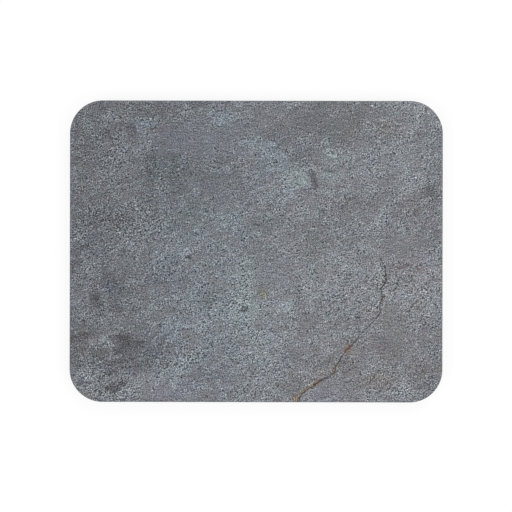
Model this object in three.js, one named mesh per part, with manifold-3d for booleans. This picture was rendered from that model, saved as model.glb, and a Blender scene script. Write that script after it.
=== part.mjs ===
// A flat serving tray pressed from melamine resin, in the half gastronorm format.
// A printed stone-look foil is moulded into its serving face, and four non-slip pads are glued underneath.
// Millimetres, +Z up. The origin is on the table under the middle of the tray, and X runs along its long side.

import * as THREE from 'three';
import { mergeVertices } from 'three/addons/utils/BufferGeometryUtils.js';
import Module from 'manifold-3d';

// Moulded shell: a flat plate with a skirt that turns down all round
const TRAY_LENGTH = 325; // long side over the rim
const TRAY_WIDTH = 263; // short side over the rim
const CORNER_RADIUS = 29; // plan radius of the rim's corners
const BODY_HEIGHT = 13; // rim land to serving face
const PLATE_THICKNESS = 4.5; // plate under the foil
const SKIRT_THICKNESS = 4; // wall of the skirt
const WALL_DRAFT_DEG = 2; // both faces of the skirt flare towards the open underside
const TOP_EDGE_RADIUS = 1.5; // edge of the serving face
const RIM_EDGE_RADIUS = 0.8; // both edges of the rim land
const INNER_FILLET = 3; // plate to skirt, inside

// Decor foil: covers the serving face and turns down over its edge
const FOIL_THICKNESS = 0.2; // printed sheet with its clear overlay
const FOIL_TURN_DOWN = 3; // from the serving face to the foil's lower edge

// Foot bosses: moulded pedestals under the corners, each with a socket for a pad
const FOOT_INSET = 32; // boss axis from the long side and from the short side
const BOSS_WALL = 2.7; // round the socket
const BOSS_DRAFT_DEG = 3;
const BOSS_FILLET = 2; // boss to plate
const SOCKET_DEPTH = 1.2;

// Non-slip pads, each held in its socket by an adhesive disc
const FOOT_DIAMETER = 16;
const FOOT_STANDOFF = 2; // rim land above the table
const FOOT_EDGE_RADIUS = 1; // lower edge of the pad
const FOOT_CLEARANCE = 0.3; // pad to socket wall, all round
const ADHESIVE_THICKNESS = 0.2;
const ADHESIVE_MARGIN = 1; // the disc is smaller than the pad, all round

// Facets
const CORNER_STEPS = 12; // per quarter turn of the plan
const EDGE_STEPS = 4; // per rounded edge
const FILLET_STEPS = 5;
const ROUND_STEPS = 32; // per turn of a boss or pad

// Heights above the table, and the drafts as angles
const rimZ = FOOT_STANDOFF;
const servingZ = rimZ + BODY_HEIGHT;
const plateTopZ = servingZ - FOIL_THICKNESS;
const plateBottomZ = plateTopZ - PLATE_THICKNESS;
const foilEdgeZ = servingZ - FOIL_TURN_DOWN;
const socketFloorZ = rimZ + SOCKET_DEPTH;
const padTopZ = socketFloorZ - ADHESIVE_THICKNESS;
const wallDraft = THREE.MathUtils.degToRad(WALL_DRAFT_DEG);
const bossDraft = THREE.MathUtils.degToRad(BOSS_DRAFT_DEG);

const wasm = await Module();
wasm.setup();

// A closed geometry as a solid that can be joined and cut.
function toSolid(geometry) {
  const bare = geometry.clone();
  bare.deleteAttribute('normal');
  bare.deleteAttribute('uv');
  const merged = mergeVertices(bare);
  return new wasm.Manifold(
    new wasm.Mesh({
      numProp: 3,
      vertProperties: new Float32Array(merged.attributes.position.array),
      triVerts: new Uint32Array(merged.index.array),
    }),
  );
}

// A joined or cut solid as a geometry again.
function toGeometry(solid) {
  const mesh = solid.getMesh();
  const geometry = new THREE.BufferGeometry();
  geometry.setAttribute('position', new THREE.BufferAttribute(mesh.vertProperties, 3));
  geometry.setIndex(new THREE.BufferAttribute(mesh.triVerts, 1));
  geometry.computeVertexNormals();
  return geometry;
}

// Points [u, z] along an arc, both ends included; angles run from the u axis towards z.
function arc(u, z, radius, startAngle, endAngle, steps) {
  return Array.from({ length: steps + 1 }, (_, i) => {
    const angle = startAngle + ((endAngle - startAngle) * i) / steps;
    return [u + radius * Math.cos(angle), z + radius * Math.sin(angle)];
  });
}

// The rim's rounded rectangle drawn in by an inset, at height z, anticlockwise from the +X +Y corner.
function ring([inset, z]) {
  const halfX = TRAY_LENGTH / 2 - CORNER_RADIUS;
  const halfY = TRAY_WIDTH / 2 - CORNER_RADIUS;
  const centres = [[halfX, halfY], [-halfX, halfY], [-halfX, -halfY], [halfX, -halfY]];
  return centres.flatMap(([x, y], quarter) => {
    const start = (quarter * Math.PI) / 2;
    const corner = arc(x, y, CORNER_RADIUS - inset, start, start + Math.PI / 2, CORNER_STEPS);
    return corner.map(([px, py]) => new THREE.Vector3(px, py, z));
  });
}

// A closed shell through the rings of a profile of [inset, z] points, with a flat cap on the first and last ring.
// The profile starts at the upper cap, runs out and down, and ends at the lower cap.
function loft(profile) {
  const rings = profile.map(ring);
  const count = rings[0].length;
  const points = rings.flat();
  const faces = [];
  for (let r = 0; r + 1 < rings.length; r++) {
    for (let i = 0; i < count; i++) {
      const a = r * count + i;
      const b = r * count + ((i + 1) % count);
      faces.push(a, a + count, b + count, a, b + count, b);
    }
  }
  const contour = rings[0].map((p) => new THREE.Vector2(p.x, p.y));
  const last = (rings.length - 1) * count;
  for (const [a, b, c] of THREE.ShapeUtils.triangulateShape(contour, [])) {
    faces.push(a, b, c, last + a, last + c, last + b);
  }
  const geometry = new THREE.BufferGeometry().setFromPoints(points);
  geometry.setIndex(faces);
  geometry.computeVertexNormals();
  return geometry;
}

// A solid of revolution about Z from a profile of [radius, z] points that climbs from the axis back to the axis.
function revolve(profile) {
  const points = profile.map(([radius, z]) => new THREE.Vector2(radius, z));
  return new THREE.LatheGeometry(points, ROUND_STEPS).rotateX(Math.PI / 2);
}

// Inset of the skirt's outer face at height z: nothing at the rim, more towards the serving face.
const outerInset = (z) => (z - rimZ) * Math.tan(wallDraft);
const innerInset = (z) => outerInset(z) + SKIRT_THICKNESS;

// The rounded edge between the skirt and a face parallel to the serving face, set in by a depth.
// Every depth shares one centre, so that the foil keeps its thickness round the edge.
function servingEdge(depth) {
  const centreZ = servingZ - TOP_EDGE_RADIUS;
  const centreInset = outerInset(centreZ) + TOP_EDGE_RADIUS / Math.cos(wallDraft);
  const radius = TOP_EDGE_RADIUS - depth;
  return arc(centreInset, centreZ, radius, Math.PI / 2, Math.PI - wallDraft, EDGE_STEPS);
}

// The foil's inner and outer face meet the skirt at its lower edge.
const foilEdgeOuter = [outerInset(foilEdgeZ), foilEdgeZ];
const foilEdgeInner = [outerInset(foilEdgeZ) + FOIL_THICKNESS / Math.cos(wallDraft), foilEdgeZ];

function foilGeometry() {
  const outside = [...servingEdge(0), foilEdgeOuter];
  const inside = [...servingEdge(FOIL_THICKNESS), foilEdgeInner];
  return loft([...outside, ...inside.reverse()]);
}

// The shell without its bosses: under the foil, down the skirt, round the rim land and up inside to the plate.
function shellGeometry() {
  const lean = RIM_EDGE_RADIUS / Math.cos(wallDraft);
  const rimCentreZ = rimZ + RIM_EDGE_RADIUS;
  const rimOuter = outerInset(rimCentreZ) + lean;
  const rimInner = innerInset(rimCentreZ) - lean;
  const filletZ = plateBottomZ - INNER_FILLET;
  const filletInset = innerInset(filletZ) + INNER_FILLET / Math.cos(wallDraft);
  return loft([
    ...servingEdge(FOIL_THICKNESS),
    foilEdgeInner,
    foilEdgeOuter,
    ...arc(rimOuter, rimCentreZ, RIM_EDGE_RADIUS, Math.PI - wallDraft, 1.5 * Math.PI, EDGE_STEPS),
    ...arc(rimInner, rimCentreZ, RIM_EDGE_RADIUS, -0.5 * Math.PI, -wallDraft, EDGE_STEPS),
    ...arc(filletInset, filletZ, INNER_FILLET, Math.PI - wallDraft, 0.5 * Math.PI, FILLET_STEPS),
  ]);
}

const padRadius = FOOT_DIAMETER / 2;
const socketRadius = padRadius + FOOT_CLEARANCE;

// A boss from the rim's level up into the plate, wider towards the plate and flared where they meet.
function bossGeometry() {
  const footRadius = socketRadius + BOSS_WALL;
  const filletZ = plateBottomZ - BOSS_FILLET;
  const filletRadius = footRadius + (filletZ - rimZ) * Math.tan(bossDraft) + BOSS_FILLET / Math.cos(bossDraft);
  const flare = arc(filletRadius, filletZ, BOSS_FILLET, Math.PI - bossDraft, 0.5 * Math.PI, FILLET_STEPS);
  const rootZ = (plateBottomZ + plateTopZ) / 2;
  return revolve([[0, rimZ], [footRadius, rimZ], ...flare, [filletRadius, rootZ], [0, rootZ]]);
}

// The cutter for a socket starts below the boss, so that it leaves a clean mouth.
function socketGeometry() {
  const mouthZ = rimZ - SOCKET_DEPTH;
  return revolve([[0, mouthZ], [socketRadius, mouthZ], [socketRadius, socketFloorZ], [0, socketFloorZ]]);
}

function padGeometry() {
  const edge = arc(padRadius - FOOT_EDGE_RADIUS, FOOT_EDGE_RADIUS, FOOT_EDGE_RADIUS, -0.5 * Math.PI, 0, EDGE_STEPS);
  return revolve([[0, 0], ...edge, [padRadius, padTopZ], [0, padTopZ]]);
}

function adhesiveGeometry() {
  const radius = padRadius - ADHESIVE_MARGIN;
  return revolve([[0, padTopZ], [radius, padTopZ], [radius, socketFloorZ], [0, socketFloorZ]]);
}

// The four corners, seen from the front, which is the -Y side.
const footX = TRAY_LENGTH / 2 - FOOT_INSET;
const footY = TRAY_WIDTH / 2 - FOOT_INSET;
const corners = [
  { name: 'front_left', x: -footX, y: -footY },
  { name: 'front_right', x: footX, y: -footY },
  { name: 'rear_left', x: -footX, y: footY },
  { name: 'rear_right', x: footX, y: footY },
];

function bodyGeometry() {
  const boss = toSolid(bossGeometry());
  const socket = toSolid(socketGeometry());
  let body = toSolid(shellGeometry());
  for (const { x, y } of corners) {
    body = body.add(boss.translate([x, y, 0])).subtract(socket.translate([x, y, 0]));
  }
  return toGeometry(body);
}

const melamine = new THREE.MeshStandardMaterial({ color: 0x4c5054, roughness: 0.55, metalness: 0 });
const stonePrint = new THREE.MeshStandardMaterial({ color: 0x7a7d82, roughness: 0.6, metalness: 0 });
const softRubber = new THREE.MeshStandardMaterial({ color: 0x1f2123, roughness: 0.85, metalness: 0 });
const clearAdhesive = new THREE.MeshStandardMaterial({ color: 0xc9c6bb, roughness: 0.4, metalness: 0 });

function piece(name, geometry, material) {
  const mesh = new THREE.Mesh(geometry, material);
  mesh.name = name;
  return mesh;
}

const tray = new THREE.Group();
tray.add(piece('tray_body', bodyGeometry(), melamine));
tray.add(piece('decor_foil', foilGeometry(), stonePrint));

const pad = padGeometry();
const adhesive = adhesiveGeometry();
for (const { name, x, y } of corners) {
  const foot = new THREE.Group();
  foot.position.set(x, y, 0);
  foot.add(piece(`foot_${name}`, pad, softRubber));
  foot.add(piece(`adhesive_${name}`, adhesive, clearAdhesive));
  tray.add(foot);
}

export default tray;
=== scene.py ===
import math

import bmesh
import bpy
from mathutils import Matrix, Vector, noise


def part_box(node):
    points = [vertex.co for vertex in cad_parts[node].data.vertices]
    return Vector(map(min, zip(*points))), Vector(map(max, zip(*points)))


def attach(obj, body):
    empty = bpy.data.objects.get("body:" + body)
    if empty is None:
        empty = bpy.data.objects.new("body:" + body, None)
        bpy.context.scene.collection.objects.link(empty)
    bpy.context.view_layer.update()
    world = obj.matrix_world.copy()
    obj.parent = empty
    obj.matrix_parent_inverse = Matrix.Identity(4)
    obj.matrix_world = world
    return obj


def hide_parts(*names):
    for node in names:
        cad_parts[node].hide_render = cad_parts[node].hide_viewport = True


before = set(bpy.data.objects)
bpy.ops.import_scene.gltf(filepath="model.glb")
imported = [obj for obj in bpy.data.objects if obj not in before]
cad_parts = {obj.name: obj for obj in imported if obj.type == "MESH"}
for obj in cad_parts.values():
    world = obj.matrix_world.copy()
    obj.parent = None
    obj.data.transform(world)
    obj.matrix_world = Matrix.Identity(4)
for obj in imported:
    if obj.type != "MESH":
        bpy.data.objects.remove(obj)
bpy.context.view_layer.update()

MM = 0.001

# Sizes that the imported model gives, in metres
body_low, body_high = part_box("tray_body")
foil_low, foil_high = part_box("decor_foil")
pad_low, pad_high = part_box("foot_front_right")
_, glue_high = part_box("adhesive_front_right")
RIM_Z = body_low.z
PLATE_TOP_Z = body_high.z
SERVING_Z = foil_high.z
FOIL_EDGE_Z = foil_low.z
PAD_RADIUS = (pad_high.x - pad_low.x) / 2
PAD_TOP_Z = pad_high.z
SOCKET_FLOOR_Z = glue_high.z
FOOT_X = (pad_low.x + pad_high.x) / 2
FOOT_Y = -(pad_low.y + pad_high.y) / 2

# Sizes of the moulding that the boxes don't give
HALF_LENGTH = 325 * MM / 2
HALF_WIDTH = 263 * MM / 2
CORNER_RADIUS = 29 * MM
PLATE_THICKNESS = 4.5 * MM
SKIRT_THICKNESS = 4 * MM
WALL_DRAFT = math.radians(2)
TOP_EDGE_RADIUS = 1.5 * MM
RIM_EDGE_RADIUS = 0.8 * MM
INNER_FILLET = 3 * MM
FOOT_CLEARANCE = 0.3 * MM
BOSS_WALL = 2.7 * MM
BOSS_DRAFT = math.radians(3)
BOSS_FILLET = 2 * MM
BOSS_EDGE_RADIUS = 0.5 * MM
PAD_EDGE_RADIUS = 1 * MM
PLATE_BOTTOM_Z = PLATE_TOP_Z - PLATE_THICKNESS
FOIL_THICKNESS = SERVING_Z - PLATE_TOP_Z

# Fineness of the visible meshes
CORNER_STEPS = 32
EDGE_STEPS = 8
ROUND_STEPS = 64
GRID_STEP = 2.25 * MM
SHARP_ANGLE = math.radians(40)

# Gentle unevenness of the pressed serving face
RELIEF_DEPTH = 0.1 * MM
RELIEF_SCALE = 55.0
RELIEF_ROUGHNESS = 0.9
RELIEF_STEP = 2.1
RELIEF_OCTAVES = 4
RELIEF_FADE = 6 * MM

# The photograph in pixels: its side, the tray's long side, and the tray's middle right of and above centre
PHOTO_PIXELS = 512
TRAY_PIXELS = 372.8
TRAY_RIGHT_PIXELS = 0.2
TRAY_UP_PIXELS = 4.55

# The camera's turn, lens and sensor
CAMERA_TURN = math.radians(0.12)
LENS_MM = 100
SENSOR_MM = 36


# Meshes


def arc(u, z, radius, start, end, steps):
    """Points (u, z) along an arc, both ends included; angles run from the u axis towards z."""
    angles = [start + (end - start) * i / steps for i in range(steps + 1)]
    return [(u + radius * math.cos(a), z + radius * math.sin(a)) for a in angles]


def outer_inset(z):
    """Inset of the skirt's outer face at height z: nothing at the rim, more towards the serving face."""
    return (z - RIM_Z) * math.tan(WALL_DRAFT)


def inner_inset(z):
    return outer_inset(z) + SKIRT_THICKNESS


def serving_edge(depth):
    """Profile of the rounded edge of the serving face, set in by a depth, from the flat down to the skirt."""
    centre_z = SERVING_Z - TOP_EDGE_RADIUS
    centre_inset = outer_inset(centre_z) + TOP_EDGE_RADIUS / math.cos(WALL_DRAFT)
    return arc(centre_inset, centre_z, TOP_EDGE_RADIUS - depth, math.pi / 2, math.pi - WALL_DRAFT, EDGE_STEPS)


def add_ring(bm, inset, z):
    """The rim's rounded rectangle drawn in by an inset, anticlockwise from the +X +Y corner."""
    cx, cy = HALF_LENGTH - CORNER_RADIUS, HALF_WIDTH - CORNER_RADIUS
    verts = []
    for quarter, (sx, sy) in enumerate([(1, 1), (-1, 1), (-1, -1), (1, -1)]):
        start = quarter * math.pi / 2
        corner = arc(sx * cx, sy * cy, CORNER_RADIUS - inset, start, start + math.pi / 2, CORNER_STEPS)
        verts += [bm.verts.new((x, y, z)) for x, y in corner]
    return verts


def add_circle(bm, x, y, radius, z):
    points = arc(x, y, radius, 0, math.tau, ROUND_STEPS)[:-1]
    return [bm.verts.new((px, py, z)) for px, py in points]


def bridge(bm, upper, lower):
    """Quads between two loops with as many points, facing out when the loops run anticlockwise."""
    count = len(upper)
    for i in range(count):
        j = (i + 1) % count
        bm.faces.new((upper[i], lower[i], lower[j], upper[j]))


def bridge_all(bm, loops):
    for upper, lower in zip(loops, loops[1:]):
        bridge(bm, upper, lower)


def loop_edges(bm, loop):
    return [bm.edges.get((a, b)) for a, b in zip(loop, loop[1:] + loop[:1])]


def finish_piece(bm, name, material, node):
    """Turns a bmesh into a smooth-shaded piece that rides on the tray and replaces a CAD node."""
    bmesh.ops.recalc_face_normals(bm, faces=bm.faces)
    for face in bm.faces:
        face.smooth = True
    for edge in bm.edges:
        edge.smooth = not edge.is_manifold or edge.calc_face_angle() < SHARP_ANGLE
    mesh = bpy.data.meshes.new(name)
    bm.to_mesh(mesh)
    bm.free()
    mesh.materials.append(material)
    piece = bpy.data.objects.new(name, mesh)
    bpy.context.scene.collection.objects.link(piece)
    normals = piece.modifiers.new("flat faces stay flat", "WEIGHTED_NORMAL")
    normals.keep_sharp = True
    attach(piece, "root")
    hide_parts(node)
    return piece


def shell_profile():
    """Section of the moulding: from under the foil down the skirt, round the rim and up to the plate."""
    lean = RIM_EDGE_RADIUS / math.cos(WALL_DRAFT)
    rim_z = RIM_Z + RIM_EDGE_RADIUS
    rim_outer = outer_inset(rim_z) + lean
    rim_inner = inner_inset(rim_z) - lean
    fillet_z = PLATE_BOTTOM_Z - INNER_FILLET
    fillet_inset = inner_inset(fillet_z) + INNER_FILLET / math.cos(WALL_DRAFT)
    foil_edge = outer_inset(FOIL_EDGE_Z)
    return [
        *serving_edge(FOIL_THICKNESS),
        (foil_edge + FOIL_THICKNESS / math.cos(WALL_DRAFT), FOIL_EDGE_Z),
        (foil_edge, FOIL_EDGE_Z),
        *arc(rim_outer, rim_z, RIM_EDGE_RADIUS, math.pi - WALL_DRAFT, 1.5 * math.pi, EDGE_STEPS),
        *arc(rim_inner, rim_z, RIM_EDGE_RADIUS, -0.5 * math.pi, -WALL_DRAFT, EDGE_STEPS),
        *arc(fillet_inset, fillet_z, INNER_FILLET, math.pi - WALL_DRAFT, 0.5 * math.pi, EDGE_STEPS),
    ]


def boss_profile():
    """Section of a foot boss, as (radius, z): from the plate down its side and up into the socket."""
    socket = PAD_RADIUS + FOOT_CLEARANCE
    foot = socket + BOSS_WALL
    fillet_z = PLATE_BOTTOM_Z - BOSS_FILLET
    fillet = foot + (fillet_z - RIM_Z) * math.tan(BOSS_DRAFT) + BOSS_FILLET / math.cos(BOSS_DRAFT)
    edge_z = RIM_Z + BOSS_EDGE_RADIUS
    edge = foot + (edge_z - RIM_Z) * math.tan(BOSS_DRAFT) - BOSS_EDGE_RADIUS / math.cos(BOSS_DRAFT)
    return [
        *arc(fillet, fillet_z, BOSS_FILLET, math.pi / 2, math.pi - BOSS_DRAFT, EDGE_STEPS),
        *arc(edge, edge_z, BOSS_EDGE_RADIUS, -BOSS_DRAFT, -math.pi / 2, EDGE_STEPS),
        (socket, RIM_Z),
        (socket, SOCKET_FLOOR_Z),
    ]


# Where the feet are
FOOT_CORNERS = [
    ("front_left", -FOOT_X, -FOOT_Y),
    ("front_right", FOOT_X, -FOOT_Y),
    ("rear_left", -FOOT_X, FOOT_Y),
    ("rear_right", FOOT_X, FOOT_Y),
]


def make_body(material):
    bm = bmesh.new()
    rings = [add_ring(bm, inset, z) for inset, z in shell_profile()]
    bridge_all(bm, rings)
    bm.faces.new(rings[0])
    openings = [rings[-1]]
    for _, x, y in FOOT_CORNERS:
        circles = [add_circle(bm, x, y, radius, z) for radius, z in boss_profile()]
        bridge_all(bm, circles)
        bm.faces.new(circles[-1])
        openings.append(circles[0])
    edges = [edge for loop in openings for edge in loop_edges(bm, loop)]
    bmesh.ops.triangle_fill(bm, use_beauty=True, edges=edges, normal=(0, 0, -1))
    return finish_piece(bm, "moulded_body", material, "tray_body")


def grid_line(half, radius):
    """Positions across the flat face, with lines where the corner squares begin."""
    corner_cells = round(radius / GRID_STEP)
    middle_cells = round(2 * (half - radius) / GRID_STEP)
    low = [-half + radius * i / corner_cells for i in range(corner_cells)]
    middle = [-(half - radius) + 2 * (half - radius) * i / middle_cells for i in range(middle_cells + 1)]
    high = [-x for x in reversed(low)]
    return low + middle + high


def round_corner(x, y, half_x, half_y, radius):
    """Moves a point of the corner square into the quarter disc, keeping the square's two inner sides."""
    a = max(abs(x) - (half_x - radius), 0) / radius
    b = max(abs(y) - (half_y - radius), 0) / radius
    if a == 0 or b == 0:
        return x, y
    reach = max(a, b)
    angle = math.pi / 4 * b / a if a >= b else math.pi / 2 - math.pi / 4 * a / b
    px = half_x - radius + radius * reach * math.cos(angle)
    py = half_y - radius + radius * reach * math.sin(angle)
    return math.copysign(px, x), math.copysign(py, y)


def outward(x, y, half_x, half_y, radius):
    """Direction out of the rounded rectangle at a point of its outline."""
    dx = max(abs(x) - (half_x - radius), 0)
    dy = max(abs(y) - (half_y - radius), 0)
    if dx > 0 and dy > 0:
        way = Vector((math.copysign(dx, x), math.copysign(dy, y)))
        return way.normalized()
    return Vector((math.copysign(1, x), 0)) if dx > 0 else Vector((0, math.copysign(1, y)))


def relief(x, y, half_x, half_y):
    """How far the pressed face dips below its highest level, fading out towards the edge."""
    rim_distance = min(half_x - abs(x), half_y - abs(y))
    fade = min(max(rim_distance / RELIEF_FADE, 0), 1)
    place = Vector((x, y, 0)) * RELIEF_SCALE
    wave = noise.fractal(place, RELIEF_ROUGHNESS, RELIEF_STEP, RELIEF_OCTAVES)
    return RELIEF_DEPTH * fade * min(max((1 + wave) / 2, 0), 1)


def make_foil(material):
    bm = bmesh.new()
    flat_inset = serving_edge(0)[0][0]
    half_x, half_y = HALF_LENGTH - flat_inset, HALF_WIDTH - flat_inset
    radius = CORNER_RADIUS - flat_inset
    xs, ys = grid_line(half_x, radius), grid_line(half_y, radius)
    grid = []
    for y in ys:
        row = [round_corner(x, y, half_x, half_y, radius) for x in xs]
        grid.append([bm.verts.new((px, py, SERVING_Z - relief(px, py, half_x, half_y))) for px, py in row])
    for low_row, high_row in zip(grid, grid[1:]):
        for i in range(len(xs) - 1):
            bm.faces.new((low_row[i], low_row[i + 1], high_row[i + 1], high_row[i]))
    right = [row[-1] for row in grid[:-1]]
    left = [row[0] for row in grid[:0:-1]]
    outline = grid[0][:-1] + right + grid[-1][:0:-1] + left
    ways = [outward(v.co.x, v.co.y, half_x, half_y, radius) for v in outline]

    def ring_at(inset, z):
        reach = flat_inset - inset
        return [bm.verts.new((v.co.x + w.x * reach, v.co.y + w.y * reach, z)) for v, w in zip(outline, ways)]

    edge_inset = outer_inset(FOIL_EDGE_Z)
    back_inset = edge_inset + FOIL_THICKNESS / math.cos(WALL_DRAFT)
    outside = [ring_at(*point) for point in serving_edge(0)[1:]]
    lower = [ring_at(edge_inset, FOIL_EDGE_Z), ring_at(back_inset, FOIL_EDGE_Z)]
    inside = [ring_at(*point) for point in reversed(serving_edge(FOIL_THICKNESS))]
    bridge_all(bm, [outline, *outside, *lower, *inside])
    bm.faces.new(inside[-1])
    return finish_piece(bm, "stone_print_foil", material, "decor_foil")


def make_pad(name, x, y, material):
    bm = bmesh.new()
    profile = [
        (PAD_RADIUS, PAD_TOP_Z),
        *arc(PAD_RADIUS - PAD_EDGE_RADIUS, PAD_EDGE_RADIUS, PAD_EDGE_RADIUS, 0, -math.pi / 2, EDGE_STEPS),
    ]
    circles = [add_circle(bm, x, y, radius, z) for radius, z in profile]
    bridge_all(bm, circles)
    bm.faces.new(circles[0])
    bm.faces.new(circles[-1])
    return finish_piece(bm, f"rubber_pad_{name}", material, f"foot_{name}")


# Materials

# A noise is given by the size of its features in millimetres, its detail, its roughness and its swirl.
# These are the middle of its values, and where most of them lie.
NOISE_MIDDLE = 0.5
NOISE_SPAN = (0.3, 0.7)


class Nodes:
    """Adds linked nodes to a material's tree; a value is a number, a tuple or another node's output."""

    def __init__(self, name):
        self.material = bpy.data.materials.new(name)
        self.material.use_nodes = True
        self.tree = self.material.node_tree
        self.shader = self.tree.nodes["Principled BSDF"]

    def feed(self, socket, value):
        if isinstance(value, bpy.types.NodeSocket):
            self.tree.links.new(value, socket)
        else:
            socket.default_value = value

    def add(self, kind, values=None, **settings):
        node = self.tree.nodes.new(kind)
        for key, setting in settings.items():
            setattr(node, key, setting)
        for key, value in (values or {}).items():
            self.feed(node.inputs[key], value)
        return node

    def math(self, operation, *values):
        return self.add("ShaderNodeMath", dict(enumerate(values)), operation=operation).outputs[0]

    def vector(self, operation, *values):
        return self.add("ShaderNodeVectorMath", dict(enumerate(values)), operation=operation).outputs[0]

    def scaled(self, vector, factor):
        """A vector times a number."""
        return self.add("ShaderNodeVectorMath", {0: vector, "Scale": factor}, operation="SCALE").outputs[0]

    def add_scaled(self, total, vector, factor):
        """A sum of vectors plus one vector times a number."""
        return self.vector("ADD", total, self.scaled(vector, factor))

    def length(self, value):
        return self.add("ShaderNodeVectorMath", {0: value}, operation="LENGTH").outputs["Value"]

    def millimetres(self):
        return self.scaled(self.add("ShaderNodeTexCoord").outputs["Object"], 1 / MM)

    def unrolled(self, top_z):
        """The place in millimetres, with the sides below a height folded out flat."""
        place = self.millimetres()
        depth = self.math("SUBTRACT", top_z / MM, self.split(place)[2])
        facing = self.add("ShaderNodeTexCoord").outputs["Normal"]
        return self.add_scaled(place, facing, depth)

    def noise(self, place, size, detail=0.0, roughness=0.5, swirl=0.0, output="Fac"):
        """Noise from 0 to 1, most of it near its middle."""
        values = {
            "Vector": place,
            "Scale": 1 / size,
            "Detail": detail,
            "Roughness": roughness,
            "Distortion": swirl,
        }
        return self.add("ShaderNodeTexNoise", values).outputs[output]

    def noise_vector(self, place, *settings):
        """Three noises about 0, as a vector."""
        noises = self.noise(place, *settings, output="Color")
        return self.vector("SUBTRACT", noises, (NOISE_MIDDLE, NOISE_MIDDLE, NOISE_MIDDLE))

    def about_zero(self, value):
        """Noise or a random tone, moved so that its middle is 0."""
        return self.math("SUBTRACT", value, NOISE_MIDDLE)

    def cells(self, place, size):
        """Irregular flat cells of a size in millimetres: the distance from their middle, and a colour."""
        values = {"Vector": place, "Scale": 1 / size}
        return self.add("ShaderNodeTexVoronoi", values, voronoi_dimensions="2D").outputs

    def split(self, value):
        return self.add("ShaderNodeSeparateXYZ", {0: value}).outputs

    def turned(self, place, turn):
        """A place in axes that are turned by degrees about the tray's upright axis."""
        across, up = math.cos(math.radians(turn)), math.sin(math.radians(turn))
        parts = {}
        for axis, way in enumerate(((across, up, 0), (-up, across, 0))):
            dot = self.add("ShaderNodeVectorMath", {0: place, 1: way}, operation="DOT_PRODUCT")
            parts[axis] = dot.outputs["Value"]
        return self.add("ShaderNodeCombineXYZ", parts).outputs[0]

    def local(self, place, centre=(0, 0), turn=0.0, size=(1, 1)):
        """Coordinates of a patch: its middle at 0, its sides at 1, turned by degrees."""
        values = {
            "Vector": place,
            "Location": (*centre, 0),
            "Rotation": (0, 0, math.radians(turn)),
            "Scale": (*size, size[0]),
        }
        return self.add("ShaderNodeMapping", values, vector_type="TEXTURE").outputs[0]

    def remap(self, value, low, high, to_low=0.0, to_high=1.0, smooth=True):
        """A value taken from one range to another, in a smooth or a straight step, and held at its ends."""
        values = {"Value": value, "From Min": low, "From Max": high, "To Min": to_low, "To Max": to_high}
        kind = "SMOOTHSTEP" if smooth else "LINEAR"
        return self.add("ShaderNodeMapRange", values, interpolation_type=kind, clamp=not smooth).outputs[0]

    def bump(self, height, depth):
        return self.add("ShaderNodeBump", {"Height": height, "Distance": depth}).outputs["Normal"]

    def set(self, **values):
        for key, value in values.items():
            self.feed(self.shader.inputs[key.replace("_", " ")], value)
        return self.material


# The stone print: tones are 8-bit levels of a picture, and places are millimetres from the tray's middle
LEVEL = 1 / 255
PICTURE_GAMMA = 2.2
STONE_TONE = (112.6, 114.7, 119.3)
STONE_ROUGHNESS = (0.42, 0.54)

# In linear light: the sheen of the clear overlay, which the ink is darker by, and the darkest ink
SHEEN = (0.021, 0.021, 0.021)
DARKEST_INK = (0.003, 0.003, 0.003)

# The bedding of the stone: the way that grains and clouds are drawn out, and how much
BEDDING_TURN = 33
GRAIN_STRETCH = (1.0, 1.02)
CLOUD_STRETCH = (1.2, 1.0)

# Uneven outlines: the noise that pushes the patches about, and how far
DRIFT_NOISE = (11, 4.0, 0.6)
DRIFT_REACH = 15

# The colour darkens towards the tray's left side
SHADE_FROM_X = -165
SHADE_TO_X = 0
SHADE_LEVELS = (-14, 2)
SHADE_TINT = (0.98, 1.0, 1.01)

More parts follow.
